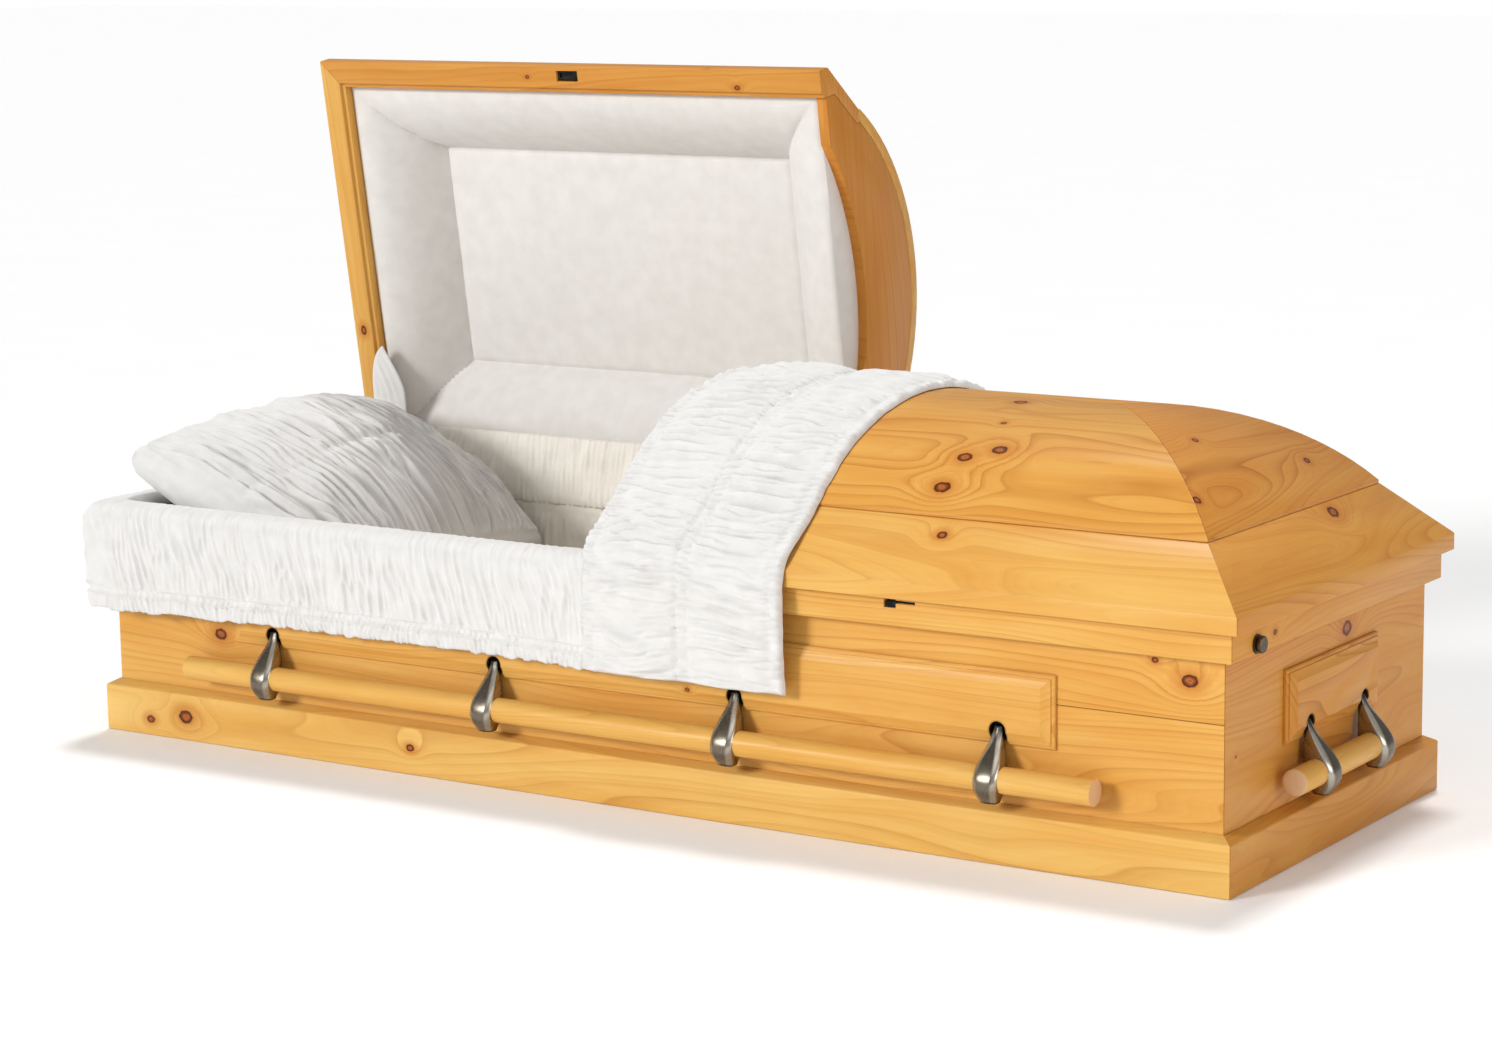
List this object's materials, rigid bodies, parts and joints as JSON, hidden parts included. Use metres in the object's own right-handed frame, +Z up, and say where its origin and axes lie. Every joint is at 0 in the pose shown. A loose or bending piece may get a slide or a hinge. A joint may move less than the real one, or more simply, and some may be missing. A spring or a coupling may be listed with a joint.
{
  "type": "wooden coffin",
  "caption": "Pine half-couch coffin on a moulded base, head lid open on a ruched white lining and pillow, foot lid closed under a cloth throw, with wooden swing-bar handles.",
  "frame": {"origin": "middle of the underside, on the floor board's lower face", "axes": "+X along the length towards the foot end, -Y out of the front side that faces the mourners, +Y out of the hinge side, +Z up"},
  "size_m": [2.1592, 0.971, 1.0886],
  "materials": {
    "pine": "satin lacquered pine, honey coloured",
    "bar_wood": "satin lacquered turned wood",
    "handle_metal": "antique nickel, burnished on the edges",
    "dark_metal": "dark bronze",
    "white_cloth": "white crepe, ruched and stitched",
    "lining_cloth": "off-white crepe, gathered"
  },
  "bodies": {
    "case": {"base_moulding_front": "pine", "base_moulding_back": "pine", "base_moulding_head": "pine", "base_moulding_foot": "pine", "wall_front": "pine", "wall_back": "pine", "wall_head": "pine", "wall_foot": "pine", "floor_board": "pine", "rim_rail_front": "pine", "rim_rail_back": "pine", "rim_rail_head": "pine", "rim_rail_foot": "pine", "panel_front": "pine", "panel_back": "pine", "panel_head": "pine", "panel_foot": "pine", "head_latch": "dark_metal", "foot_latch": "dark_metal", "end_lock": "dark_metal", "head_hinge_plate": "dark_metal", "foot_hinge_plate": "dark_metal", "body_lining": "lining_cloth", "mattress": "lining_cloth", "rim_skirt": "white_cloth", "pillow": "white_cloth"},
    "head_lid": {"head_lid_front_rail": "pine", "head_lid_back_rail": "pine", "head_lid_end_rail": "pine", "head_lid_crown": "pine", "head_lid_hip": "pine", "head_lid_header": "pine", "head_lid_lining": "white_cloth", "head_lid_hinge_leaf": "dark_metal"},
    "foot_lid": {"foot_lid_front_rail": "pine", "foot_lid_back_rail": "pine", "foot_lid_end_rail": "pine", "foot_lid_crown": "pine", "foot_lid_hip": "pine", "foot_lid_header": "pine", "foot_lid_lining": "white_cloth", "foot_lid_hinge_leaf": "dark_metal", "throw": "white_cloth"},
    "front_handle": {"arm_front_1": "handle_metal", "arm_front_2": "handle_metal", "arm_front_3": "handle_metal", "arm_front_4": "handle_metal", "bar_front": "bar_wood"},
    "back_handle": {"arm_back_1": "handle_metal", "arm_back_2": "handle_metal", "arm_back_3": "handle_metal", "arm_back_4": "handle_metal", "bar_back": "bar_wood"},
    "head_handle": {"arm_head_1": "handle_metal", "arm_head_2": "handle_metal", "bar_head": "bar_wood"},
    "foot_handle": {"arm_foot_1": "handle_metal", "arm_foot_2": "handle_metal", "bar_foot": "bar_wood"}
  },
  "joints": [
    {"name": "head_lid_hinge", "type": "hinge", "parent": "case", "child": "head_lid", "pos_m": [-0.515, 0.3582, 0.3562], "axis": [1, 0, 0], "range_deg": [0, 81.3], "deforming": ["pillow", "rim_skirt"]},
    {"name": "foot_lid_hinge", "type": "hinge", "parent": "case", "child": "foot_lid", "pos_m": [0.515, 0.3582, 0.3562], "axis": [-1, 0, 0], "range_deg": [0, 81.3]},
    {"name": "front_handle_swing", "type": "hinge", "parent": "case", "child": "front_handle", "pos_m": [0, -0.3504, 0.197], "axis": [-1, 0, 0], "range_deg": [0, 65]},
    {"name": "back_handle_swing", "type": "hinge", "parent": "case", "child": "back_handle", "pos_m": [0, 0.3504, 0.197], "axis": [1, 0, 0], "range_deg": [0, 65]},
    {"name": "head_handle_swing", "type": "hinge", "parent": "case", "child": "head_handle", "pos_m": [-1.0281, 0, 0.197], "axis": [0, 1, 0], "range_deg": [0, 65]},
    {"name": "foot_handle_swing", "type": "hinge", "parent": "case", "child": "foot_handle", "pos_m": [1.0281, 0, 0.197], "axis": [0, -1, 0], "range_deg": [0, 65]}
  ]
}
